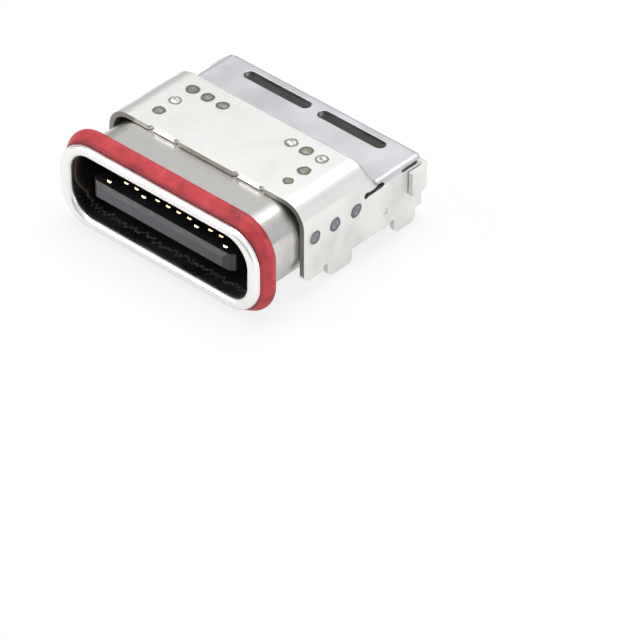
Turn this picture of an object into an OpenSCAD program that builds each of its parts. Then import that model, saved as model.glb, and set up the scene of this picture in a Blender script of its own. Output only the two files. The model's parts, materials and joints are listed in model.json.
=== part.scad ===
// Sealed 24-contact reversible data and charging socket for a circuit board.
// Millimetres. The mouth opens towards -Y, +Z is up and the board lies below the part.
// The origin is the middle of the mouth, in the plane of the flange's front face.

/* [Mouth] */
// Width of the mouth inside the drawn tube
mouth_w = 8.34; // [7:0.02:11]
// Height of the mouth inside the drawn tube
mouth_h = 2.56; // [2.1:0.02:3.2]
// Corner radius of the mouth
mouth_corner_r = 0.93; // [0.6:0.01:1.2]
// Depth from the flange's face to the wall behind the tongue
mouth_depth = 5.80; // [5:0.05:7.5]

/* [Drawn tube] */
// Wall of the drawn tube
tube_wall = 0.22; // [0.15:0.01:0.3]
// How far the tube ends before the wall behind the tongue
tube_short = 0.25; // [0.2:0.05:0.4]
// Radius that leads a plug into the mouth
lip_lead_r = 0.22; // [0.12:0.01:0.26]
// Radius on the flange's outer edge
flange_edge_r = 0.15; // [0.08:0.01:0.19]
// Reach of the flange past the mouth, above and below
flange_reach_z = 0.385; // [0.38:0.005:0.5]
// Reach of the flange past the mouth, at each side
flange_reach_x = 0.49; // [0.38:0.01:0.7]
// Thickness of the flange
flange_t = 0.25; // [0.23:0.01:0.4]
// Corner radius of the flange's outline
flange_corner_r = 1.30; // [0.8:0.02:1.6]
// Length of each pressed stop in the tube's floor
stop_l = 1.1; // [0.6:0.1:1.6]
// Width of each pressed stop
stop_w = 0.40; // [0.3:0.02:0.5]
// Depth of each pressed stop
stop_depth = 0.07; // [0.04:0.01:0.09]
// Distance of each stop from the middle
stop_x = 1.75; // [1:0.05:2.5]
// Distance of the stops' middle from the flange's face
stop_y = 3.4; // [2:0.1:4]

/* [Seal] */
// How far the seal stands out from the tube
seal_h = 0.48; // [0.42:0.01:0.6]
// Width of the seal along the tube
seal_w = 0.68; // [0.6:0.01:0.9]
// Corner radius of the seal's outline
seal_corner_r = 1.50; // [1.3:0.01:1.7]
// Height of the seal next to the flange
seal_front_h = 0.25; // [0.1:0.01:0.35]
// Length of the slope that leads the seal into the housing
seal_taper_l = 0.38; // [0.3:0.01:0.5]
// Radius of the seal's rear edge
seal_edge_r = 0.20; // [0.1:0.01:0.22]

/* [Tongue] */
// Plastic beside the outermost contacts, at each side of the tongue
tongue_margin = 0.485; // [0.3:0.005:0.7]
// Thickness of the tongue
tongue_t = 0.70; // [0.6:0.01:0.85]
// How far the tongue's tip sits behind the flange's face
tongue_recess = 0.16; // [0.1:0.02:0.5]
// Length of the thick root in front of the rear wall
root_l = 1.20; // [0.9:0.05:1.5]
// Thickness of the root without its ground plates
root_t = 1.00; // [0.9:0.02:1.1]
// Chamfer along the tongue's top and bottom front edges
tip_chamfer = 0.15; // [0.05:0.01:0.22]
// Bevel across each front corner of the tongue
corner_bevel = 0.38; // [0.2:0.02:0.6]
// Depth of the latch notch in each side of the tongue
latch_depth = 0.28; // [0.15:0.01:0.4]
// Length of the latch notch
latch_l = 0.90; // [0.6:0.05:1.2]
// Distance from the tongue's tip to the latch notch
latch_y = 2.15; // [1.6:0.05:2.4]

/* [Contacts] */
// Distance between neighbouring contacts on the tongue
pitch = 0.50; // [0.42:0.01:0.6]
// Contacts in each row
per_row = 12; // [12]
// Width of each contact
contact_w = 0.22; // [0.16:0.01:0.26]
// Thickness of each contact
contact_t = 0.12; // [0.1:0.01:0.14]
// Set-back of the outermost contacts from the tongue's tip
set_back_outer = 0.33; // [0.25:0.01:0.4]
// Set-back of the fourth contact from each side
set_back_inner = 0.49; // [0.3:0.01:0.6]
// Set-back of all other contacts
set_back_other = 0.66; // [0.5:0.01:0.8]
// Gap from the rear wall to the front row of tails
front_row_gap = 0.22; // [0.2:0.01:0.4]
// Distance between the front and rear rows of tails
row_step = 1.24; // [1:0.01:1.4]
// Length of each tail's foot, past its riser
foot_l = 0.46; // [0.3:0.01:0.5]
// Radius inside each tail's bends
bend_r = 0.16; // [0.08:0.01:0.2]
// Extra spread of the outermost tails in the rear row
outer_spread = 0.30; // [0.2:0.05:0.35]
// Height of the tongue's middle above the board
board_drop = 1.66; // [1.56:0.02:2]

/* [Middle and ground plates] */
// Thickness of the middle plate
mid_t = 0.15; // [0.1:0.01:0.18]
// Distance from the outermost contact's tail to the middle plate's tail
mid_tail_gap = 0.40; // [0.35:0.01:0.5]
// Width of the middle plate's tails
mid_tail_w = 0.20; // [0.18:0.01:0.26]
// Thickness of the ground plates on the root
ground_t = 0.10; // [0.08:0.01:0.12]

/* [Cover] */
// Thickness of the cover's sheet
sheet = 0.20; // [0.14:0.01:0.22]
// Distance from the flange's face to the cover's front edge
cover_front = 2.50; // [2:0.05:3]
// Distance from the rear tails' risers to the cover's rear face
cover_rear_gap = 1.43; // [1.4:0.01:1.9]
// Shoulder radius where the cover wraps the tube
shoulder_r = 0.90; // [0.6:0.05:1.1]
// Height of the rear roof above the tongue's middle
rear_roof_z = 0.78; // [0.76:0.01:0.9]
// Outside radius of the folds at the rear
fold_r = 0.28; // [0.24:0.01:0.32]
// Length of the slope from the front roof to the rear roof
slope_l = 0.55; // [0.45:0.05:0.7]
// Depth of the side plates below the tongue's middle
side_depth = 1.25; // [1.1:0.01:1.4]
// Further depth of the side plates at their front ends
nose_drop = 0.13; // [0:0.01:0.2]
// Depth of the legs' ends below the tongue's middle
leg_depth = 1.80; // [1.7:0.02:2.05]
// Length of each front leg
leg_front_l = 1.22; // [0.9:0.02:1.4]
// Length of each rear leg
leg_rear_l = 1.08; // [0.9:0.02:1.3]
// Distance from the flange's face to the front legs
leg_front_y = 3.72; // [3.4:0.02:4]
// Distance from the rear legs to the cover's rear face
leg_rear_gap = 0.54; // [0.4:0.02:0.8]
// Radius of the notch in front of each leg
leg_notch_r = 0.12; // [0.08:0.01:0.15]
// Half the width of each roof slot, which is its end radius
slot_r = 0.24; // [0.15:0.01:0.26]
// Length of each roof slot
slot_l = 3.10; // [2.4:0.05:3.2]
// Web between the two roof slots
slot_web = 0.42; // [0.3:0.02:0.6]
// Distance from the cover's rear face to the slots
slot_back = 0.69; // [0.6:0.01:0.8]
// Height of each ear that folds round from the rear wall
ear_h = 0.94; // [0.7:0.02:1]
// Length of each ear along the side plate
ear_l = 0.92; // [0.7:0.02:1]
// Width of each trimmed tie in the cover's front edge
tie_w = 1.04; // [0.8:0.02:1.3]
// Distance between the two trimmed ties
tie_spacing = 4.00; // [3.6:0.1:4.4]
// How far each tie's upper half is set back
tie_depth = 0.06; // [0.03:0.01:0.1]
// Radius of the round nick at each end of a tie
nick_r = 0.10; // [0.06:0.01:0.12]

/* [Fits] */
// Gap between pieces that fit inside each other
fit = 0.02; // [0.01:0.01:0.03]
// Relief round each tail where it leaves the plastic
tail_relief = 0.06; // [0.04:0.01:0.08]

/* [Hidden] */
$fn = 64;
eps = 0.01;              // overlap that joins two parts of one solid
big = 20;                // longer than any part, for cuts

mouth_x = mouth_w / 2;
mouth_z = mouth_h / 2;
tube_x = mouth_x + tube_wall;
tube_z = mouth_z + tube_wall;
tube_r = mouth_corner_r + tube_wall;      // the tube's corners, outside
tube_l = mouth_depth - tube_short;
flange_x = mouth_x + flange_reach_x;
flange_z = mouth_z + flange_reach_z;

outer_contact_x = pitch * (per_row - 1) / 2;
tongue_x = outer_contact_x + contact_w / 2 + tongue_margin;
tongue_z = tongue_t / 2;
root_y = mouth_depth - root_l;
root_z = root_t / 2;
root_x = tongue_x + 0.13;                 // half width of the root over its ground plates
blade_z = tongue_z - contact_t;          // inner face of the contacts
latch_front = tongue_recess + latch_y;
latch_rear = latch_front + latch_l;

back_wall_t = 0.20;                       // wall behind the tongue
core_y = mouth_depth + back_wall_t;       // where the contact carriers start
front_riser_y = mouth_depth + front_row_gap + contact_t / 2;
rear_riser_y = front_riser_y + row_step;
jog_y = mouth_depth - 0.35;               // where the blades start to fan out
jog_l = 0.30;                             // length of that fan
mid_tail_x = outer_contact_x + outer_spread + mid_tail_gap;
carrier_split_y = front_riser_y + 0.86;   // the front carrier ends here
carrier_rear_y = rear_riser_y + 0.46;     // rear face of the rear carrier

cover_x = tube_x + fit + sheet;
cover_z = tube_z + fit + sheet;
cover_rear = rear_riser_y + cover_rear_gap;
slope_y = mouth_depth;                    // the roof starts to drop here
rear_y = slope_y + slope_l;               // and is level again here
carrier_x = tube_x - 0.29;                // half width of the contact carriers
carrier_top = rear_roof_z - sheet - fit - 0.12;
carrier_bottom = board_drop - 0.36;       // below the tongue's middle
rear_lift = 0.08;                         // the rear carrier stands this much higher
rear_pocket_h = 0.42;                     // height of the pockets round the rear tails
front_pocket_h = 0.38;                    // and round the front tails
pocket_clear = 0.10;                      // room behind each foot
leg_rear_y = cover_rear - leg_rear_gap - leg_rear_l;
ear_x = cover_x + fit + sheet;
ear_top = ear_h / 2;
fold_clear_y = cover_rear - 1.20;         // the corner slits start here
stake_y = cover_rear - 2.09;              // small square mark in each side plate
stake_z = -0.60;
stake_w = 0.24;
stake_depth = 0.04;

contacts = [for (i = [1:per_row]) i];

// ---- shapes that several pieces share ----

// Draws a flat XZ outline and gives it depth from y0 to y1.
module along_y(y0, y1) {
  translate([0, y1, 0]) rotate([90, 0, 0]) linear_extrude(y1 - y0) children();
}

// Draws a flat YZ outline and gives it width from x0 to x1.
module along_x(x0, x1) {
  translate([x0, 0, 0]) rotate([90, 0, 90]) linear_extrude(x1 - x0) children();
}

// Draws a flat XY outline and gives it height from z0 to z1.
module along_z(z0, z1) {
  translate([0, 0, z0]) linear_extrude(z1 - z0) children();
}

// A box from its low corner to its high corner
module block(low, high) {
  translate(low) cube(high - low);
}

// Both sides of the part
module both_sides() {
  children();
  mirror([1, 0, 0]) children();
}

// Outline with full-round ends
module stadium(half_w, half_h) {
  square([2 * (half_w - half_h), 2 * half_h], center = true);
  for (s = [-1, 1]) translate([s * (half_w - half_h), 0]) circle(half_h);
}

// Rectangle with round corners
module round_rect(half_w, half_h, r) {
  square([2 * half_w, 2 * (half_h - r)], center = true);
  square([2 * (half_w - r), 2 * half_h], center = true);
  for (sx = [-1, 1], sz = [-1, 1])
    translate([sx * (half_w - r), sz * (half_h - r)]) circle(r);
}

// Carries a small YZ outline, drawn with its first axis along +Y and its second pointing
// away from the middle, round a rectangle whose corners have radius r.
module sweep_round_rect(half_w, half_h, r) {
  for (sx = [-1, 1], sz = [-1, 1])
    translate([sx * (half_w - r), 0, sz * (half_h - r)])
      rotate([-90, 0, 0])
        rotate_extrude(start = sx > 0 ? (sz > 0 ? -90 : 0) : (sz > 0 ? 180 : 90), angle = 90)
          translate([r, 0]) rotate(90) mirror([0, 1]) children();
  for (a = [0, 180])
    rotate([0, a, 0]) {
      along_x(-(half_w - r), half_w - r) translate([0, half_h]) children();
      if (half_h > r + eps)
        rotate([0, 90, 0]) along_x(-(half_h - r), half_h - r) translate([0, half_w]) children();
    }
}

// ---- drawn tube ----

// What the lead-in radius takes out of the flange, seen along the mouth's edge
module lead_in_outline() {
  difference() {
    translate([-eps, -eps]) square([lip_lead_r + eps, lip_lead_r + eps]);
    translate([lip_lead_r, lip_lead_r]) circle(lip_lead_r);
  }
}

// What a radius r takes off an outer edge, seen along that edge
module outer_edge_outline(r) {
  difference() {
    translate([-eps, -r]) square(r + eps);
    translate([r, -r]) circle(r);
  }
}

// A rod with ball ends, along Y
module stop_rod(r, z) {
  half = stop_l / 2 - stop_w / 2;
  for (s = [-1, 1])
    translate([s * stop_x, stop_y, z]) {
      rotate([90, 0, 0]) cylinder(r = r, h = 2 * half, center = true);
      for (e = [-1, 1]) translate([0, e * half, 0]) sphere(r);
    }
}

module inner_shell() {
  rod_r = (pow(stop_w / 2, 2) + pow(stop_depth, 2)) / (2 * stop_depth);
  rod_z = -tube_z - rod_r + stop_depth;
  color("#c8c7c3")
    difference() {
      union() {
        along_y(0, tube_l) round_rect(tube_x, tube_z, tube_r);
        along_y(0, flange_t) round_rect(flange_x, flange_z, flange_corner_r);
      }
      difference() {
        along_y(-eps, tube_l + eps) round_rect(mouth_x, mouth_z, mouth_corner_r);
        stop_rod(rod_r + tube_wall * 0.6, rod_z);
      }
      sweep_round_rect(mouth_x, mouth_z, mouth_corner_r) lead_in_outline();
      sweep_round_rect(flange_x, flange_z, flange_corner_r) outer_edge_outline(flange_edge_r);
      stop_rod(rod_r, rod_z);
    }
}

// ---- seal ----

// What the slope at the seal's front takes off, seen along its edge. The slope runs
// into the crown through a radius.
module seal_slope_outline() {
  crown_r = 0.25;
  slope = atan((seal_h - seal_front_h) / seal_taper_l);
  t = crown_r * tan(slope / 2);            // from the slope's end to where the arc ends
  difference() {
    polygon([[-eps, eps], [-eps, seal_front_h - seal_h - eps * tan(slope)],
             [seal_taper_l - t * cos(slope), -t * sin(slope)],
             [seal_taper_l + t, 0], [seal_taper_l + t, eps]]);
    translate([seal_taper_l + t, -crown_r]) circle(crown_r);
  }
}

module seal_ring() {
  front = flange_t + fit;
  rear = front + seal_w;
  seal_x = tube_x + seal_h;
  seal_z = tube_z + seal_h;
  color("#b5333a")
    difference() {
      along_y(front, rear) round_rect(seal_x, seal_z, seal_corner_r);
      sweep_round_rect(seal_x, seal_z, seal_corner_r)
        translate([front, 0]) seal_slope_outline();
      sweep_round_rect(seal_x, seal_z, seal_corner_r)
        translate([rear, 0]) mirror([1, 0]) outer_edge_outline(seal_edge_r);
      along_y(-eps, big) round_rect(tube_x + fit / 2, tube_z + fit / 2, tube_r + fit / 2);
    }
}

// ---- cover ----

// Cross-section of what the cover closes in: a round-shouldered top and straight sides
module arch(half_w, top, r) {
  union() {
    translate([-half_w, -big / 4]) square([2 * half_w, big / 4 + top - r]);
    translate([-(half_w - r), -big / 4]) square([2 * (half_w - r), big / 4 + top]);
    for (s = [-1, 1]) translate([s * (half_w - r), top - r]) circle(r);
  }
}

// Share of the drop from the front roof to the rear roof at each step of the slope
slope_steps = [[0, 0], [0.22, 0.10], [0.78, 0.90], [1, 1]];

// The space under the roof, everywhere smaller than the cover by inset
module under_cover(inset, y0, y1) {
  along_y(y0, slope_y) arch(cover_x - inset, cover_z - inset, shoulder_r - inset);
  for (i = [0:len(slope_steps) - 2])
    hull() for (step = [slope_steps[i], slope_steps[i + 1]]) {
      y = slope_y + step[0] * slope_l;
      top = cover_z + step[1] * (rear_roof_z - cover_z) - inset;
      r = shoulder_r + step[1] * (fold_r - shoulder_r) - inset;
      along_y(y - eps / 2, y + eps / 2) arch(cover_x - inset, top, r, $fn = 32);
    }
  along_y(rear_y, y1) arch(cover_x - inset, rear_roof_z - inset, fold_r - inset);
}

// One leg, seen from the side, with a round toe and heel
module leg_outline(l) {
  toe_r = 0.26;
  heel_r = 0.22;
  translate([0, -leg_depth + toe_r]) square([l, leg_depth - toe_r]);
  translate([toe_r, -leg_depth]) square([l - toe_r - heel_r, leg_depth]);
  translate([toe_r, -leg_depth + toe_r]) circle(toe_r);
  translate([l - heel_r, -leg_depth + heel_r]) circle(heel_r);
}

// Relief cut up into the side plate, just in front of a leg
module leg_notch() {
  translate([-2 * leg_notch_r, -side_depth - 1]) square([2 * leg_notch_r, 1]);
  translate([-leg_notch_r, -side_depth]) scale([1, 0.6]) circle(leg_notch_r);
}

// Side plate seen from the side: a deeper nose, its legs, their notches and its ends
module side_outline() {
  nose_end = leg_front_y - leg_notch_r;
  nose_r = 0.28;
  side_rear = cover_rear - sheet - fit;
  difference() {
    union() {
      translate([cover_front, -side_depth - nose_drop + nose_r])
        square([nose_end - cover_front, side_depth + big / 4]);
      translate([cover_front + nose_r, -side_depth - nose_drop])
        square([nose_end - cover_front - nose_r, side_depth]);
      translate([cover_front + nose_r, -side_depth - nose_drop + nose_r]) circle(nose_r);
      translate([nose_end - eps, -side_depth])
        square([side_rear - nose_end + eps, side_depth + big / 4]);
      translate([leg_front_y, 0]) leg_outline(leg_front_l);
      translate([leg_rear_y, 0]) leg_outline(leg_rear_l);
    }
    for (y = [leg_front_y, leg_rear_y]) translate([y, 0]) leg_notch();
  }
}

// The roof runs over the rear edge and down as the rear wall.
module rear_wall_outline() {
  fold_y = cover_rear - fold_r;
  fold_z = rear_roof_z - fold_r;
  wall_bottom = -side_depth + 0.10;        // a little above the side plates' edge
  translate([fold_clear_y, rear_roof_z - sheet]) square([fold_y - fold_clear_y, sheet]);
  translate([cover_rear - sheet, wall_bottom]) square([sheet, fold_z - wall_bottom]);
  intersection() {
    translate([fold_y, fold_z])
      difference() {
        circle(fold_r);
        circle(fold_r - sheet);
      }
    translate([fold_y, fold_z]) square(fold_r);
  }
}

// An ear, seen from above: from the rear wall round the corner and forward
module ear_outline() {
  corner_r = sheet + 0.08;
  corner = [ear_x - corner_r, cover_rear - corner_r];
  root = cover_x - 0.5;                    // inside the rear wall, which it joins
  translate([root, cover_rear - sheet]) square([corner[0] - root, sheet]);
  translate([ear_x - sheet, cover_rear - ear_l]) square([sheet, corner[1] - cover_rear + ear_l]);
  intersection() {
    translate(corner)
      difference() {
        circle(corner_r);
        circle(corner_r - sheet);
      }
    translate(corner) square(corner_r);
  }
}

// Long slots through the rear roof
module roof_slots() {
  y = cover_rear - slot_back;
  for (s = [-1, 1])
    translate([s * (slot_web / 2 + slot_l / 2), y, rear_roof_z - 0.5])
      linear_extrude(1) stadium(slot_l / 2, slot_r);
}

// What is missing from the front edge where a tie was scored above and below and broken
// off, seen from the side, from the sheet's top face down. A lip is left half-way down.
module tie_outline() {
  wall = sheet * 0.45;
  lip = sheet * 0.75;
  back = cover_front + tie_depth;
  front = cover_front - eps;
  polygon([[front, eps], [back, eps], [back, -wall], [cover_front, -lip],
           [back, -sheet - eps], [front, -sheet - eps]]);
}

// The two trimmed ties, with their nicks
module trimmed_ties() {
  for (s = [-1, 1])
    translate([s * tie_spacing / 2, 0, 0]) {
      along_x(-tie_w / 2, tie_w / 2) translate([0, cover_z]) tie_outline();
      for (e = [-1, 1])
        translate([e * (tie_w / 2 + nick_r), cover_front, 0]) cylinder(r = nick_r, h = big);
    }
}

// Cuts that free the folds: a slit with a round end beside the slope, and one along
// each rear corner
module fold_reliefs() {
  slit_w = 0.17;
  slit_z = rear_roof_z - fold_r + 0.11;
  slit_front = slope_y - 0.10;
  slit_rear = rear_y + 0.20;
  end_r = 0.13;
  corner_slit_w = 0.11;
  corner_slit_angle = 28;                  // low on the fold, nearer the side plate
  both_sides() {
    along_x(cover_x - 0.5, cover_x + eps) {
      translate([slit_front, slit_z - slit_w / 2]) square([slit_rear - slit_front, slit_w]);
      translate([slit_front, slit_z]) circle(end_r);
      translate([slit_rear, slit_z]) circle(slit_w / 2);
    }
    along_y(fold_clear_y, cover_rear + eps)
      translate([cover_x - fold_r, rear_roof_z - fold_r])
        rotate(corner_slit_angle) translate([0, -corner_slit_w / 2]) square([2 * fold_r, corner_slit_w]);
  }
}

module cover_shell() {
  rear_clear = cover_rear - sheet - fit;
  wall_x = cover_x - fold_r - fit;         // half width of the rear wall
  color("#dcdbd8")
    difference() {
      union() {
        intersection() {
          difference() {
            under_cover(0, cover_front, rear_clear);
            under_cover(sheet, cover_front - eps, rear_clear + eps);
          }
          along_x(-big / 2, big / 2) side_outline();
        }
        along_x(-wall_x, wall_x) rear_wall_outline();
        both_sides() along_z(-ear_top, ear_top) ear_outline();
      }
      roof_slots();
      trimmed_ties();
      fold_reliefs();
      both_sides()
        translate([cover_x, stake_y, stake_z])
          cube([2 * stake_depth, stake_w, stake_w], center = true);
    }
}

// ---- contacts ----

function contact_x(i) = (i - (per_row + 1) / 2) * pitch;
function set_back(i) =
  i == 1 || i == per_row ? set_back_outer :
  i == 4 || i == per_row - 3 ? set_back_inner : set_back_other;

// Where each tail comes out: the rear row keeps its place apart from the outermost two,
// and the front row is spread by half a pitch on each side.
function rear_tail_x(i) =
  contact_x(i) + (i == 1 || i == per_row ? sign(contact_x(i)) * outer_spread : 0);
function front_tail_x(i) = contact_x(i) + sign(contact_x(i)) * pitch / 2;

// A flat blade that runs back from the tongue, fans out to its tail's place and goes on.
module blade_outline(x0, x1, y0, y1) {
  h = contact_w / 2;
  polygon([[x0 - h, y0], [x0 + h, y0], [x0 + h, jog_y], [x1 + h, jog_y + jog_l], [x1 + h, y1],
           [x1 - h, y1], [x1 - h, jog_y + jog_l], [x0 - h, jog_y]]);
}

// Quarter ring between radii r and r + t, in the corner with x > 0 and y > 0
module quarter_bend(r, t) {
  intersection() {
    difference() {
      circle(r + t);
      circle(r);
    }
    square(r + t);
  }
}

// Tail seen from the side: from a strip at height z, down a riser at y, then a foot
// that lies on the board and points to the rear.
module tail_outline(y, z, t, foot) {
  r = bend_r;
  translate([y - t / 2 - r, z - t / 2 - r]) quarter_bend(r, t);
  translate([y - t / 2, -board_drop + r + t]) square([t, z - t / 2 - r + board_drop - r - t]);
  translate([y + t / 2 + r, -board_drop + r + t]) rotate(180) quarter_bend(r, t);
  translate([y + t / 2 + r, -board_drop]) square([foot - r, t]);
}

// A whole contact. side is 1 on top of the tongue and -1 under it.
module contact(i, side, tip_bevel = 0.09) {
  y0 = tongue_recess + set_back(i);
  z = side * (blade_z + contact_t / 2);
  riser = side > 0 ? rear_riser_y : front_riser_y;
  x1 = side > 0 ? rear_tail_x(i) : front_tail_x(i);
  difference() {
    along_z(z - contact_t / 2, z + contact_t / 2)
      blade_outline(contact_x(i), x1, y0, riser - contact_t / 2 - bend_r);
    translate([contact_x(i), y0, side * tongue_z])
      rotate([45, 0, 0]) cube([1, tip_bevel * sqrt(2), tip_bevel * sqrt(2)], center = true);
  }
  along_x(x1 - contact_w / 2, x1 + contact_w / 2) tail_outline(riser, z, contact_t, foot_l);
}

// What the plastic leaves free for a contact. It is square at the tip, so the bevel shows.
module contact_seat(i, side) {
  contact(i, side, 0.001);
}

module all_contact_seats() {
  for (i = contacts, side = [-1, 1]) contact_seat(i, side);
}

// ---- middle plate ----

module mid_plate_outline() {
  plate_x = tongue_x - 0.16;               // inside the plastic, but for the notches
  latch_x = tongue_x - latch_depth;
  front = tongue_recess + 0.22;
  cut = 0.3;                               // size of the sloping cuts at the corners
  tail_in = mid_tail_x - mid_tail_w / 2;
  tail_out = mid_tail_x + mid_tail_w / 2;
  tail_y = rear_riser_y - mid_t / 2 - bend_r;   // where the tails turn down
  polygon(concat(
    [[-plate_x + cut, front], [plate_x - cut, front], [plate_x, front + cut]],
    [[plate_x, latch_front - cut], [latch_x, latch_front], [latch_x, latch_rear]],
    [[plate_x, latch_rear + cut], [plate_x, mouth_depth], [tail_out, core_y]],
    [[tail_out, tail_y], [tail_in, tail_y], [tail_in, carrier_split_y]],
    [[-tail_in, carrier_split_y], [-tail_in, tail_y], [-tail_out, tail_y]],
    [[-tail_out, core_y], [-plate_x, mouth_depth], [-plate_x, latch_rear + cut]],
    [[-latch_x, latch_rear], [-latch_x, latch_front], [-plate_x, latch_front - cut]],
    [[-plate_x, front + cut]]));
}

module mid_plate() {
  color("#c9c8c4") {
    along_z(-mid_t / 2, mid_t / 2) mid_plate_outline();
    both_sides()
      along_x(mid_tail_x - mid_tail_w / 2, mid_tail_x + mid_tail_w / 2)
        tail_outline(rear_riser_y, 0, mid_t, foot_l);
  }
}

// ---- ground plates on the root ----

module ground_plate(side) {
  bend = 0.14;
  edge = 0.20;                             // the side flaps end this far from the middle
  top = root_z + ground_t;
  color("#c9c8c4")
    along_y(root_y + 0.06, mouth_depth - 0.04)
      scale([1, side])
        difference() {
          union() {
            translate([-root_x, edge]) square([2 * root_x, top - bend - edge]);
            translate([-(root_x - bend), edge]) square([2 * (root_x - bend), top - edge]);
            for (s = [-1, 1]) translate([s * (root_x - bend), top - bend]) circle(bend);
          }
          translate([-(root_x - ground_t), 0]) square([2 * (root_x - ground_t), root_z]);
        }
}

// ---- moulded parts ----

// The tongue from above, with bevelled corners and a latch notch in each side
module tongue_plan() {
  x = tongue_x;
  bevel_y = tongue_recess + 0.8 * corner_bevel;
  notch_x = x - latch_depth;
  lead = 0.10;                             // the notch's ends slope over this length
  polygon(concat(
    [[-x + corner_bevel, tongue_recess], [x - corner_bevel, tongue_recess], [x, bevel_y]],
    [[x, latch_front - lead], [notch_x, latch_front], [notch_x, latch_rear]],
    [[x, latch_rear + lead], [x, root_y + 1], [-x, root_y + 1], [-x, latch_rear + lead]],
    [[-notch_x, latch_rear], [-notch_x, latch_front], [-x, latch_front - lead]],
    [[-x, bevel_y]]));
}

// The tongue from the side, with its two front chamfers
module tongue_side() {
  z = tongue_z;
  c = tip_chamfer;
  polygon([[tongue_recess, -z + c], [tongue_recess + c, -z], [root_y + 1, -z],
           [root_y + 1, z], [tongue_recess + c, z], [tongue_recess, z - c]]);
}

module tongue_overmould() {
  core_x = root_x - ground_t;              // the root under its ground plates
  color("#2b282f")
    difference() {
      union() {
        intersection() {
          along_z(-1, 1) tongue_plan();
          along_x(-big / 2, big / 2) tongue_side();
        }
        block([-core_x, root_y, -root_z], [core_x, core_y - eps, root_z]);
        intersection() {
          difference() {
            along_y(tube_l + fit, core_y) round_rect(tube_x, tube_z, tube_r);
            along_y(tube_l, mouth_depth) round_rect(mouth_x, mouth_z, mouth_corner_r);
          }
          under_cover(sheet + fit, cover_front, rear_y + 1);
        }
      }
      all_contact_seats();
      mid_plate();
    }
}

// Pocket that each tail needs below the plastic
module tail_pockets(riser, tails, floor_z) {
  for (x = tails)
    block([x - contact_w / 2 - tail_relief, riser - contact_t / 2 - tail_relief, -big / 4],
          [x + contact_w / 2 + tail_relief, riser + foot_l + pocket_clear, floor_z]);
}

module upper_contact_carrier() {
  plate_gap = mid_t / 2;
  color("#2b282f")
    difference() {
      union() {
        block([-carrier_x, core_y, plate_gap], [carrier_x, carrier_split_y, carrier_top]);
        block([-carrier_x, carrier_split_y - eps, -carrier_bottom + rear_lift],
              [carrier_x, carrier_rear_y, carrier_top]);
      }
      all_contact_seats();
      mid_plate();
      tail_pockets(rear_riser_y, [for (i = contacts) rear_tail_x(i)],
                   -carrier_bottom + rear_pocket_h);
      tail_pockets(rear_riser_y, [-mid_tail_x, mid_tail_x], -carrier_bottom + rear_pocket_h);
    }
}

module lower_contact_carrier() {
  color("#2b282f")
    difference() {
      block([-carrier_x, core_y, -carrier_bottom],
            [carrier_x, carrier_split_y - eps, -mid_t / 2]);
      all_contact_seats();
      mid_plate();
      tail_pockets(front_riser_y, [for (i = contacts) front_tail_x(i)],
                   -carrier_bottom + front_pocket_h);
    }
}

// Resin poured between the carriers and the cover, behind the drawn tube
module rear_sealant() {
  front = core_y + fit;
  rear = carrier_rear_y - 0.30;
  bottom = -side_depth + 0.18;
  color("#1d1b20")
    difference() {
      intersection() {
        under_cover(sheet + fit, cover_front, cover_rear - 0.5);
        block([-big / 4, front, bottom], [big / 4, rear, big / 8]);
      }
      block([-carrier_x, front - 1, -big / 4], [carrier_x, rear + 1, carrier_top]);
      mid_plate();
    }
}

module upper_contact(i) {
  color("#e9cfa0") contact(i, 1);
}

module lower_contact(i) {
  color("#e9cfa0") contact(i, -1);
}

inner_shell();
seal_ring();
cover_shell();
tongue_overmould();
upper_contact_carrier();
lower_contact_carrier();
mid_plate();
ground_plate(1);  // upper_ground_plate
ground_plate(-1);  // lower_ground_plate
rear_sealant();
for (i = contacts) upper_contact(i);
for (i = contacts) lower_contact(i);
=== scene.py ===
# Sealed board-mount socket: drawn tube, red ring, black tongue and a welded sheet cover.
import math

import bpy
from mathutils import Matrix, Vector
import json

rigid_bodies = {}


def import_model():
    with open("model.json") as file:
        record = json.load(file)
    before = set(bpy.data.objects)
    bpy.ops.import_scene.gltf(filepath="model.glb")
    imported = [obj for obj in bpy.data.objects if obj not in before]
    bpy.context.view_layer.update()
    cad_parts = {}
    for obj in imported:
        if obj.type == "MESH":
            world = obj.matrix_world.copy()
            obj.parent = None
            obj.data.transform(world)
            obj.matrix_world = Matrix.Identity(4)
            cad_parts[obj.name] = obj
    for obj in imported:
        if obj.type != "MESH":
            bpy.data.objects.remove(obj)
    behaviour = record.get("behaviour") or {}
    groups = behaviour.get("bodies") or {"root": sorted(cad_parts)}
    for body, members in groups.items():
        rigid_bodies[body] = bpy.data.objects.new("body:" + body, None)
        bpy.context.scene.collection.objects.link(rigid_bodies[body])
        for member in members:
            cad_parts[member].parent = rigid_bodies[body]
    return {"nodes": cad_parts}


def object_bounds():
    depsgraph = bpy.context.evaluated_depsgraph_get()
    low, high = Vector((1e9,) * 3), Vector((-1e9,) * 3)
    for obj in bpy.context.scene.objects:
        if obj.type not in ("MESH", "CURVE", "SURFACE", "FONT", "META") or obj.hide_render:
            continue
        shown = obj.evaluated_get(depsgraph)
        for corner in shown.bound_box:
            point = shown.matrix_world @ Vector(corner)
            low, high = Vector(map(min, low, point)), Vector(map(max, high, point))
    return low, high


mm = 0.001  # the scene is in metres, and sizes below are in millimetres

for leftOver in list(bpy.data.objects):
    bpy.data.objects.remove(leftOver)
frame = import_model()
nodes = frame["nodes"]
cadLow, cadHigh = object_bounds()
print("loaded", len(nodes), "pieces")
bpy.context.scene.view_settings.view_transform = "Standard"


def toLinear(hexColour, alpha=1.0):
    channels = [int(hexColour[i : i + 2], 16) / 255 for i in (1, 3, 5)]
    linear = [c / 12.92 if c <= 0.04045 else ((c + 0.055) / 1.055) ** 2.4 for c in channels]
    return (*linear, alpha)


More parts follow.
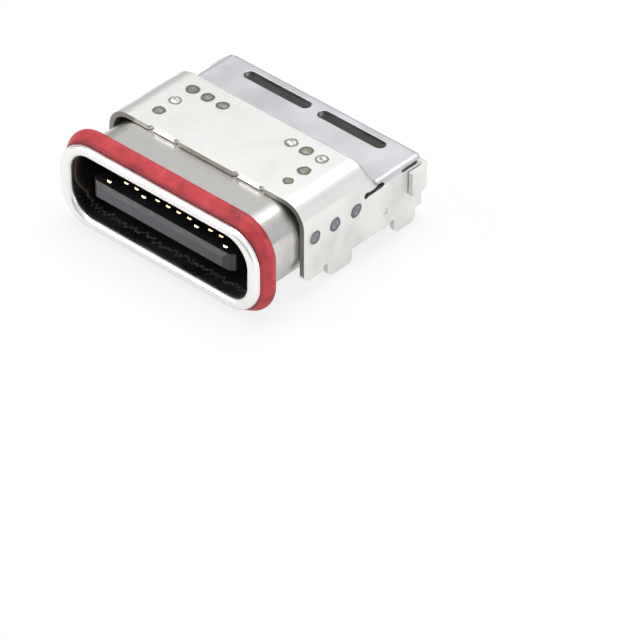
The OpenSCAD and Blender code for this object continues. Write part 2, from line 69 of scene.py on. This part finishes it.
def addNode(tree, kind, settings=None, links=None):
    node = tree.nodes.new("ShaderNode" + kind)
    for key, value in (settings or {}).items():  # properties first: some change the sockets
        if isinstance(key, str) and hasattr(node, key):
            setattr(node, key, value)
    for key, value in (settings or {}).items():
        if not (isinstance(key, str) and hasattr(node, key)):
            node.inputs[key].default_value = value
    for key, source in (links or {}).items():
        tree.links.new(source, node.inputs[key])
    return node


def newMaterial(name):
    material = bpy.data.materials.new(name)
    material.use_nodes = True
    tree = material.node_tree
    tree.nodes.clear()
    output = addNode(tree, "OutputMaterial")
    place = addNode(tree, "TexCoord").outputs["Object"]  # metres, in the part's own frame
    return material, tree, output, place


def perMillimetre(length):
    return 1 / (length * mm)  # texture scale for a pattern that repeats every length


cameraSpec = {
    "azimuth": 42.365,  # degrees round from the mouth's side
    "elevation": 37.713,
    "roll": 0.181,
    "distance": 200.0,  # mm from the plane through the mouth's middle
    "lens": 328.17,
    "right": 5.636,  # mm from the mouth's middle to the middle of the view
    "down": 3.132,
}


def makeCamera(spec):
    azimuth, elevation, roll = (math.radians(spec[k]) for k in ("azimuth", "elevation", "roll"))
    back = Vector(
        (
            math.sin(azimuth) * math.cos(elevation),
            -math.cos(azimuth) * math.cos(elevation),
            math.sin(elevation),
        )
    )
    level = Vector((math.cos(azimuth), math.sin(azimuth), 0))
    upright = back.cross(level)
    right = math.cos(roll) * level + math.sin(roll) * upright
    up = math.cos(roll) * upright - math.sin(roll) * level
    place = back * spec["distance"] + right * spec["right"] - up * spec["down"]
    camera = bpy.data.objects.new("camera", bpy.data.cameras.new("camera"))
    camera.data.sensor_width = 36
    camera.data.lens = spec["lens"]
    camera.data.clip_start = 10 * mm
    camera.data.clip_end = 2000 * mm
    axes = Matrix((right, up, back)).transposed().to_4x4()
    camera.matrix_world = Matrix.Translation(place * mm) @ axes
    bpy.context.scene.collection.objects.link(camera)
    bpy.context.scene.camera = camera


makeCamera(cameraSpec)

tentSpec = {
    "skyHigh": "#f4f5f6",  # what bright metal sees above
    "skyLow": "#8f8e90",  # and near the horizon
    "fill": 0.36,  # strength on matt surfaces
    "seenWhite": "#ffffff",  # background and floor, as the camera sees them
    "floorPaint": "#f4f4f4",
    "floorGlowSeen": 0.80,  # share of plain white in the floor, which leaves a faint shadow
    "floorGlowMirrored": 0.5,
}
lampSpec = {  # name: size mm, place mm, power in watts
    "overhead": {"size": 70, "place": (-10, 20, 90), "power": 0.06, "colour": "#ffffff"},
    "frontLeft": {"size": 50, "place": (-70, -60, 50), "power": 0.042, "colour": "#fffdf8"},
    "right": {"size": 50, "place": (80, 10, 30), "power": 0.03, "colour": "#f8faff"},
}


def mixShaders(tree, share, first, second):
    return addNode(tree, "MixShader", links={0: share, 1: first, 2: second}).outputs[0]


def makeWorld(spec):
    world = bpy.data.worlds.new("lightTent")
    bpy.context.scene.world = world
    world.use_nodes = True
    tree = world.node_tree
    tree.nodes.clear()
    direction = addNode(tree, "TexCoord").outputs["Generated"]
    height = addNode(tree, "SeparateXYZ", links={0: direction}).outputs["Z"]
    rise = addNode(tree, "MapRange", {1: -0.2, 2: 0.9}, {0: height}).outputs[0]
    ramp = addNode(tree, "ValToRGB", links={0: rise})
    ramp.color_ramp.elements[0].color = toLinear(spec["skyLow"])
    ramp.color_ramp.elements[1].color = toLinear(spec["skyHigh"])
    path = addNode(tree, "LightPath").outputs
    white = toLinear(spec["seenWhite"])
    matt = addNode(tree, "Background", {"Color": white, "Strength": spec["fill"]}).outputs[0]
    shiny = addNode(tree, "Background", {"Strength": 1.0}, {"Color": ramp.outputs[0]}).outputs[0]
    seen = addNode(tree, "Background", {"Color": white, "Strength": 1.0}).outputs[0]
    lit = mixShaders(tree, path["Is Glossy Ray"], matt, shiny)
    final = mixShaders(tree, path["Is Camera Ray"], lit, seen)
    addNode(tree, "OutputWorld", links={"Surface": final})


def makeLamp(name, spec):
    lamp = bpy.data.lights.new(name, "AREA")
    lamp.shape = "SQUARE"
    lamp.size = spec["size"] * mm
    lamp.energy = spec["power"]
    lamp.color = toLinear(spec["colour"])[:3]
    holder = bpy.data.objects.new(name, lamp)
    holder.location = Vector(spec["place"]) * mm
    aim = Vector((0, 4 * mm, 0)) - holder.location
    holder.rotation_mode = "QUATERNION"
    holder.rotation_quaternion = aim.to_track_quat("-Z", "Y")
    bpy.context.scene.collection.objects.link(holder)


def makeFloor(spec):
    half = 400 * mm
    corners = [(-half, -half, 0), (half, -half, 0), (half, half, 0), (-half, half, 0)]
    mesh = bpy.data.meshes.new("floor")
    mesh.from_pydata(corners, [], [(0, 1, 2, 3)])
    floor = bpy.data.objects.new("floor", mesh)
    floor.location = (0, 0, cadLow.z)
    bpy.context.scene.collection.objects.link(floor)
    material, tree, output, place = newMaterial("paintedFloor")
    path = addNode(tree, "LightPath").outputs
    paint = addNode(tree, "BsdfDiffuse", {"Color": toLinear(spec["floorPaint"])}).outputs[0]
    glow = {"Color": toLinear(spec["seenWhite"]), "Strength": 1.0}
    glow = addNode(tree, "Emission", glow).outputs[0]
    both = {1: paint, 2: glow}
    seen = addNode(tree, "MixShader", {0: spec["floorGlowSeen"]}, both).outputs[0]
    mirrored = addNode(tree, "MixShader", {0: spec["floorGlowMirrored"]}, both).outputs[0]
    toCamera = mixShaders(tree, path["Is Camera Ray"], paint, seen)
    final = mixShaders(tree, path["Is Glossy Ray"], toCamera, mirrored)
    tree.links.new(final, output.inputs["Surface"])
    mesh.materials.append(material)


makeWorld(tentSpec)
for name, spec in lampSpec.items():
    makeLamp(name, spec)
makeFloor(tentSpec)
print("light tent ready")


def inMillimetres(tree, place):
    scaling = {"operation": "SCALE", "Scale": 1 / mm}
    return addNode(tree, "VectorMath", scaling, {0: place}).outputs[0]


def cloud(tree, place, length, detail=3.0, stretch=(1, 1, 1)):
    mapped = addNode(tree, "Mapping", {"Scale": stretch}, {"Vector": place}).outputs[0]
    pattern = {"Scale": perMillimetre(length), "Detail": detail}
    return addNode(tree, "TexNoise", pattern, {"Vector": mapped}).outputs["Fac"]


def blendColour(tree, amount, first, second):
    mix = addNode(tree, "Mix", {"data_type": "RGBA"})
    for socket, value in ((mix.inputs[0], amount), (mix.inputs[6], first), (mix.inputs[7], second)):
        if isinstance(value, bpy.types.NodeSocket):
            tree.links.new(value, socket)
        elif isinstance(value, str):
            socket.default_value = toLinear(value)
        else:
            socket.default_value = value
    return mix.outputs[2]


def fade(tree, value, start, end, low=0.0, high=1.0):
    kind = {"interpolation_type": "SMOOTHSTEP", 1: start, 2: end, 3: low, 4: high}
    return addNode(tree, "MapRange", kind, {0: value}).outputs[0]


def combine(tree, operation, first, second):
    node = addNode(tree, "Math", {"operation": operation})
    for socket, value in zip(node.inputs, (first, second)):
        if isinstance(value, bpy.types.NodeSocket):
            tree.links.new(value, socket)
        else:
            socket.default_value = value
    return node.outputs[0]


def softened(tree, height, strength, depth, edge):
    rounded = addNode(tree, "Bevel", {"samples": 6, "Radius": edge * mm}).outputs[0]
    relief = {"Strength": strength, "Distance": depth * mm}
    return addNode(tree, "Bump", relief, {"Height": height, "Normal": rounded}).outputs[0]


def spotField(tree, place, spots):
    # how far a point is from the nearest spot, where 1 is on its rim
    nearest = None
    for x, y, z, diameter in spots:
        middle = {"operation": "DISTANCE", 1: (x, y, z)}
        gap = addNode(tree, "VectorMath", middle, {0: place}).outputs["Value"]
        share = combine(tree, "DIVIDE", gap, diameter / 2)
        nearest = share if nearest is None else combine(tree, "MINIMUM", nearest, share)
    return nearest


def wobble(tree, place, amount, length):
    # shifts a point a little, so that rims come out uneven
    noise = addNode(tree, "TexNoise", {"Scale": 1 / length, "Detail": 2.0}, {"Vector": place})
    centring = {"operation": "SUBTRACT", 1: (0.5, 0.5, 0.5)}
    centred = addNode(tree, "VectorMath", centring, {0: noise.outputs["Color"]}).outputs[0]
    sizing = {"operation": "SCALE", "Scale": amount}
    shift = addNode(tree, "VectorMath", sizing, {0: centred}).outputs[0]
    return addNode(tree, "VectorMath", {"operation": "ADD"}, {0: place, 1: shift}).outputs[0]


def finish(material, tree, output, settings, links):
    shader = addNode(tree, "BsdfPrincipled", settings, links)
    tree.links.new(shader.outputs[0], output.inputs["Surface"])
    return material


# Nickel-washed stainless sheet, cut and folded: a pale satin metal with faint clouds,
# thin bright edges, grey cut faces deepened with painted shade, and painted shade on the rear roof.
coverSpec = {
    "sheet": "#ebeae6",
    "sheetCloud": "#d9d9d7",
    # painted shade: a darker lilac grey for the roof behind the step
    "rearRoofShade": "#cfcdd1",
    # cut faces: their own duller grey, deepened with painted shade
    "shadedCutFace": "#8c8a84",
    "stain": "#b9a58f",
    "cloudSize": 1.6,  # mm, as are the next three
    "speckleSize": 0.16,
    "meltSize": 0.12,
    "rimWander": 0.10,
    "rearShadeFrom": (5.9, 6.3),  # mm from the flange, where the painted shade on the rear roof begins
    "cutFaceTo": (2.504, 2.51),
    "roughness": (0.34, 0.46),
    "edge": 0.035,  # mm, radius left on the cut edges
    "roofTop": 1.72,
    "sideAt": 4.61,
    # laser welds through the sheet: x, y from the middle of the mouth and diameter, in mm
    "dullWelds": [(-3.05, 3.4, 0.5), (-3.05, 5.1, 0.55), (3.05, 4.2, 0.52), (3.05, 3.4, 0.42)]
    + [(-2.34, 5.1, 0.53), (-1.62, 5.1, 0.5), (2.34, 5.1, 0.54)],
    "brightWelds": [(-3.05, 4.2, 0.5), (3.05, 5.1, 0.52), (1.62, 5.1, 0.52)],
    "sideWelds": [(3.07, 0.27, 0.56), (4.08, 0.27, 0.56), (5.15, 0.27, 0.56)],  # y, z, diameter
}


def washedSheet(spec):
    material, tree, output, place = newMaterial("washedSheet")
    at = inMillimetres(tree, place)
    axes = addNode(tree, "SeparateXYZ", links={0: at}).outputs
    clouds = cloud(tree, place, spec["cloudSize"], 4.0)
    speckle = cloud(tree, place, spec["speckleSize"], 2.0)
    colour = blendColour(tree, fade(tree, clouds, 0.35, 0.7), spec["sheet"], spec["sheetCloud"])
    # painted shade: the roof behind the step is painted a darker lilac grey
    rearShadeMask = fade(tree, axes["Y"], *spec["rearShadeFrom"])
    roof = fade(tree, axes["Z"], 0.5, 0.72)
    colour = blendColour(tree, combine(tree, "MULTIPLY", rearShadeMask, roof), colour, spec["rearRoofShade"])
    # grey faces where the sheet was cut along its front: the sheared metal's own duller grey,
    # darkened further with painted shade
    shadedCutMask = fade(tree, axes["Y"], *spec["cutFaceTo"], 1.0, 0.0)
    colour = blendColour(tree, shadedCutMask, colour, spec["shadedCutFace"])
    uneven = wobble(tree, at, spec["rimWander"], 0.22)
    top = spec["roofTop"]
    dull = spotField(tree, uneven, [(x, y, top, d) for x, y, d in spec["dullWelds"]])
    shiny = spotField(tree, uneven, [(x, y, top, d) for x, y, d in spec["brightWelds"]])
    sides = [(s * spec["sideAt"], y, z, d) for s in (-1, 1) for y, z, d in spec["sideWelds"]]
    side = spotField(tree, uneven, sides)
    melt = cloud(tree, place, spec["meltSize"], 3.0)
    weldLooks = (  # the field, then its heart, its rim and the flecks in it
        (dull, "#8c8c7e", "#62625a", "#b7b6a8"),
        (shiny, "#f4f3ee", "#77776e", "#8e8d84"),
        (side, "#7c808a", "#5e6066", "#a2a6ab"),
    )
    rough = fade(tree, clouds, 0.3, 0.7, *spec["roughness"])
    rims = None
    for field, heart, rim, fleck in weldLooks:
        inside = blendColour(tree, fade(tree, melt, 0.5, 0.68), heart, fleck)
        inside = blendColour(tree, fade(tree, field, 0.5, 0.86), inside, rim)
        mask = fade(tree, field, 0.86, 1.06, 1.0, 0.0)
        colour = blendColour(tree, mask, colour, inside)
        rims = mask if rims is None else combine(tree, "MAXIMUM", rims, mask)
    # heat stain beside the front side weld
    halo = fade(tree, side, 1.0, 1.7, 0.5, 0.0)
    halo = combine(tree, "MULTIPLY", halo, fade(tree, axes["Y"], 2.5, 3.2, 1.0, 0.0))
    colour = blendColour(tree, halo, colour, spec["stain"])
    dished = combine(tree, "MULTIPLY", rims, combine(tree, "SUBTRACT", melt, 0.9))
    height = combine(tree, "ADD", combine(tree, "MULTIPLY", speckle, 0.25), dished)
    normal = softened(tree, height, 0.25, 0.03, spec["edge"])
    links = {"Base Color": colour, "Roughness": rough, "Normal": normal}
    return finish(material, tree, output, {"Metallic": 1.0}, links)


# Deep-drawn stainless tube: smooth bright metal with faint draw lines along it, a painted highlight
# on its front lip, and painted shade, almost black, where the mouth closes in on itself.
tubeSpec = {
    "steel": "#d2d1cd",
    "cloud": "#bfbebb",
    # painted highlight on the polished front lip
    "lip": "#f2f2f0",
    # painted shade: near black for the inside of the mouth
    "inside": "#0b0608",
    "warmReflection": "#4a3313",  # painted warm reflection along the edge of the painted shade inside
    "roughness": (0.24, 0.34),
    "wallMiddle": (3.24, 0.35, 1.04),  # half flats and corner radius half-way through the wall
    "shadeFrom": 0.30,  # mm from the flange's face, where the painted shade inside the mouth begins
    "raggedBy": 0.75,
    "weld": "#85857b",
    "cloudSize": 1.1,
    "lineWidth": 0.09,  # mm, coarser than real draw lines, which would not show
    "underWelds": [(x, 4.95, -1.5, 0.5) for x in (0, -1.42, 1.42, -2.84, 2.84)],
}


def drawnStainless(spec):
    material, tree, output, place = newMaterial("drawnStainless")
    at = inMillimetres(tree, place)
    axes = addNode(tree, "SeparateXYZ", links={0: at}).outputs
    clouds = cloud(tree, place, spec["cloudSize"], 3.0)
    lines = cloud(tree, place, spec["lineWidth"], 2.0, (1, 0.06, 1))  # drawn out along Y
    colour = blendColour(tree, fade(tree, clouds, 0.3, 0.7), spec["steel"], spec["cloud"])
    # painted highlight: the polished front lip is painted near white
    lip = fade(tree, axes["Y"], 0.22, 0.30, 1.0, 0.0)
    colour = blendColour(tree, lip, colour, spec["lip"])
    under = spotField(tree, wobble(tree, at, 0.1, 0.22), spec["underWelds"])
    colour = blendColour(tree, fade(tree, under, 0.86, 1.06, 1.0, 0.0), colour, spec["weld"])
    flatX, flatZ, corner = spec["wallMiddle"]
    # distance outward from the flats, which tells the tube's inner face from its outer one
    beyond = addNode(tree, "VectorMath", {"operation": "ABSOLUTE"}, {0: at}).outputs[0]
    steps = (("SUBTRACT", (flatX, 0, flatZ)), ("MAXIMUM", (0, 0, 0)), ("MULTIPLY", (1, 0, 1)))
    for operation, amount in steps:
        step = {"operation": operation, 1: amount}
        beyond = addNode(tree, "VectorMath", step, {0: beyond}).outputs[0]
    reach = addNode(tree, "VectorMath", {"operation": "LENGTH"}, {0: beyond}).outputs["Value"]
    within = fade(tree, reach, corner - 0.01, corner + 0.01, 1.0, 0.0)
    # the painted shade's edge is ragged on the floor of the mouth, where the draw lines run out
    onFloor = fade(tree, axes["Z"], -1.0, 0.0, spec["raggedBy"], 0.0)
    ragged = combine(tree, "MULTIPLY", lines, onFloor)
    depth = combine(tree, "SUBTRACT", axes["Y"], ragged)
    # painted shade: inside the mouth the tube is painted near black, rougher and not metallic
    dark = fade(tree, depth, spec["shadeFrom"] - 0.06, spec["shadeFrom"] + 0.10)
    dark = combine(tree, "MULTIPLY", dark, within)
    # painted warm reflection towards the mouth's left end
    warmReflectionMask = fade(tree, axes["X"], -4.2, -3.6, 0.8, 0.0)
    warmReflectionMask = combine(tree, "MULTIPLY", warmReflectionMask, fade(tree, depth, 0.3, 0.7, 1.0, 0.0))
    inside = blendColour(tree, warmReflectionMask, spec["inside"], spec["warmReflection"])
    colour = blendColour(tree, dark, colour, inside)
    rough = fade(tree, clouds, 0.3, 0.7, *spec["roughness"])
    rough = combine(tree, "ADD", rough, combine(tree, "MULTIPLY", dark, 0.3))
    metal = fade(tree, dark, 0.0, 1.0, 1.0, 0.0)
    normal = softened(tree, lines, 0.12, 0.02, 0.02)
    links = {"Base Color": colour, "Roughness": rough, "Metallic": metal, "Normal": normal}
    return finish(material, tree, output, {}, links)


# Moulded silicone: a dull red rubber, finely mottled, with painted shade along the flange and the
# rear edge that leaves it a little lighter on its crown.
sealSpec = {
    "rubber": "#b5333a",
    "light": "#c8434a",
    "dark": "#8f2a2e",
    "edge": "#7d2427",  # painted shade along the flange and the rear edge
    "roughness": (0.42, 0.6),
    "blotchSize": 0.55,
    "grainSize": 0.07,
}


def mouldedSilicone(spec):
    material, tree, output, place = newMaterial("mouldedSilicone")
    axes = addNode(tree, "SeparateXYZ", links={0: inMillimetres(tree, place)}).outputs
    blotches = cloud(tree, place, spec["blotchSize"], 4.0)
    grain = cloud(tree, place, spec["grainSize"], 2.0)
    colour = blendColour(tree, fade(tree, blotches, 0.3, 0.5), spec["dark"], spec["rubber"])
    colour = blendColour(tree, fade(tree, blotches, 0.5, 0.75), colour, spec["light"])
    # painted shade where the ring meets the flange and along its rear edge
    colour = blendColour(tree, fade(tree, axes["Y"], 0.27, 0.42, 0.65, 0.0), colour, spec["edge"])
    colour = blendColour(tree, fade(tree, axes["Y"], 0.88, 0.95, 0.0, 0.5), colour, spec["edge"])
    rough = fade(tree, grain, 0.3, 0.7, *spec["roughness"])
    relief = {"Strength": 0.3, "Distance": 0.01 * mm}
    bump = addNode(tree, "Bump", relief, {"Height": grain}).outputs[0]
    links = {"Base Color": colour, "Roughness": rough, "Normal": bump}
    return finish(material, tree, output, {"IOR": 1.43}, links)


# Glass-filled polymer, moulded: near black, satin, with a fine grain.
plasticSpec = {
    "body": "#1a181c",
    "light": "#26242a",
    "face": "#4a474f",  # painted highlight on the tongue's front face
    # painted highlight on the chamfers round the tongue's tip
    "chamferHighlight": "#2c2930",
    "mouthShade": "#0c0a0d",  # painted shade deeper inside the mouth
    "faceAt": 0.162,
    "chamferTo": 0.31,
    "patchSize": 0.7,
    "grainSize": 0.06,
}


def mouldedPolymer(name, spec, hasTip):
    material, tree, output, place = newMaterial(name)
    axes = addNode(tree, "SeparateXYZ", links={0: inMillimetres(tree, place)}).outputs
    grain = cloud(tree, place, spec["grainSize"], 3.0)
    patches = fade(tree, cloud(tree, place, spec["patchSize"]), 0.3, 0.7)
    colour = blendColour(tree, patches, spec["body"], spec["light"])
    if hasTip:
        # painted highlight on the chamfers round the tongue's tip
        chamferHighlightMask = fade(tree, axes["Y"], spec["chamferTo"], spec["chamferTo"] + 0.01, 1.0, 0.0)
        # painted shade on the tongue deeper inside the mouth
        colour = blendColour(tree, fade(tree, axes["Y"], 0.4, 0.9), colour, spec["mouthShade"])
        colour = blendColour(tree, chamferHighlightMask, colour, spec["chamferHighlight"])
        # painted highlight on the tongue's front face, stronger towards the left
        frontHighlightMask = fade(tree, axes["Y"], spec["faceAt"], spec["faceAt"] + 0.006, 1.0, 0.0)
        frontHighlightMask = combine(tree, "MULTIPLY", frontHighlightMask, fade(tree, axes["X"], -1.0, 3.2, 1.0, 0.35))
        colour = blendColour(tree, frontHighlightMask, colour, spec["face"])
    rough = fade(tree, grain, 0.3, 0.7, 0.34, 0.5)
    normal = softened(tree, grain, 0.2, 0.008, 0.03)
    links = {"Base Color": colour, "Roughness": rough, "Normal": normal}
    return finish(material, tree, output, {"IOR": 1.55}, links)


# Gold flash over nickel on stamped copper alloy: pale, bright, a little uneven.
goldSpec = {"gold": "#e9cfa0", "pale": "#f1e2c4", "shaded": "#4b3f2c", "cloudSize": 0.3}


def goldPlating(spec):
    material, tree, output, place = newMaterial("goldPlating")
    axes = addNode(tree, "SeparateXYZ", links={0: inMillimetres(tree, place)}).outputs
    clouds = cloud(tree, place, spec["cloudSize"])
    colour = blendColour(tree, fade(tree, clouds, 0.3, 0.7), spec["gold"], spec["pale"])
    # inside the mouth only the tips catch light
    colour = blendColour(tree, fade(tree, axes["Y"], 0.62, 1.1), colour, spec["shaded"])
    colour = blendColour(tree, fade(tree, axes["Y"], 5.8, 6.0), colour, spec["gold"])
    rough = fade(tree, clouds, 0.3, 0.7, 0.16, 0.3)
    normal = softened(tree, clouds, 0.05, 0.01, 0.015)
    links = {"Base Color": colour, "Roughness": rough, "Normal": normal}
    return finish(material, tree, output, {"Metallic": 1.0}, links)


# Plain stamped stainless: silver, satin, with sheared edges.
plateSpec = {"steel": "#c9c8c4", "shade": "#b4b3b0", "cloudSize": 0.5, "grainSize": 0.08}


def stampedStainless(spec):
    material, tree, output, place = newMaterial("stampedStainless")
    clouds = cloud(tree, place, spec["cloudSize"])
    colour = blendColour(tree, fade(tree, clouds, 0.3, 0.7), spec["steel"], spec["shade"])
    rough = fade(tree, clouds, 0.3, 0.7, 0.28, 0.42)
    normal = softened(tree, cloud(tree, place, spec["grainSize"]), 0.15, 0.01, 0.02)
    links = {"Base Color": colour, "Roughness": rough, "Normal": normal}
    return finish(material, tree, output, {"Metallic": 1.0}, links)


# Poured epoxy: black, smooth and almost level, with slow ripples.
resinSpec = {"black": "#141216", "sheen": "#201e24", "rippleSize": 1.4, "patchSize": 0.3}


def curedResin(spec):
    material, tree, output, place = newMaterial("curedResin")
    ripples = cloud(tree, place, spec["rippleSize"], 1.0)
    colour = blendColour(tree, fade(tree, ripples, 0.3, 0.7), spec["black"], spec["sheen"])
    rough = fade(tree, cloud(tree, place, spec["patchSize"]), 0.3, 0.7, 0.18, 0.3)
    relief = {"Strength": 0.3, "Distance": 0.05 * mm}
    bump = addNode(tree, "Bump", relief, {"Height": ripples}).outputs[0]
    links = {"Base Color": colour, "Roughness": rough, "Normal": bump}
    return finish(material, tree, output, {"IOR": 1.55}, links)


finishes = {
    "drawn_steel": drawnStainless(tubeSpec),
    "seal_rubber": mouldedSilicone(sealSpec),
    "cover_steel": washedSheet(coverSpec),
    "tongue_plastic": mouldedPolymer("mouldedPolymerTongue", plasticSpec, True),
    "carrier_plastic": mouldedPolymer("mouldedPolymerCarrier", plasticSpec, False),
    "plate_steel": stampedStainless(plateSpec),
    "contact_plating": goldPlating(goldSpec),
    "sealant_resin": curedResin(resinSpec),
}
for node in nodes.values():
    for holder in node.material_slots:
        holder.material = finishes[holder.material.name.split(".")[0]]
print("finishes on", len(nodes), "pieces")
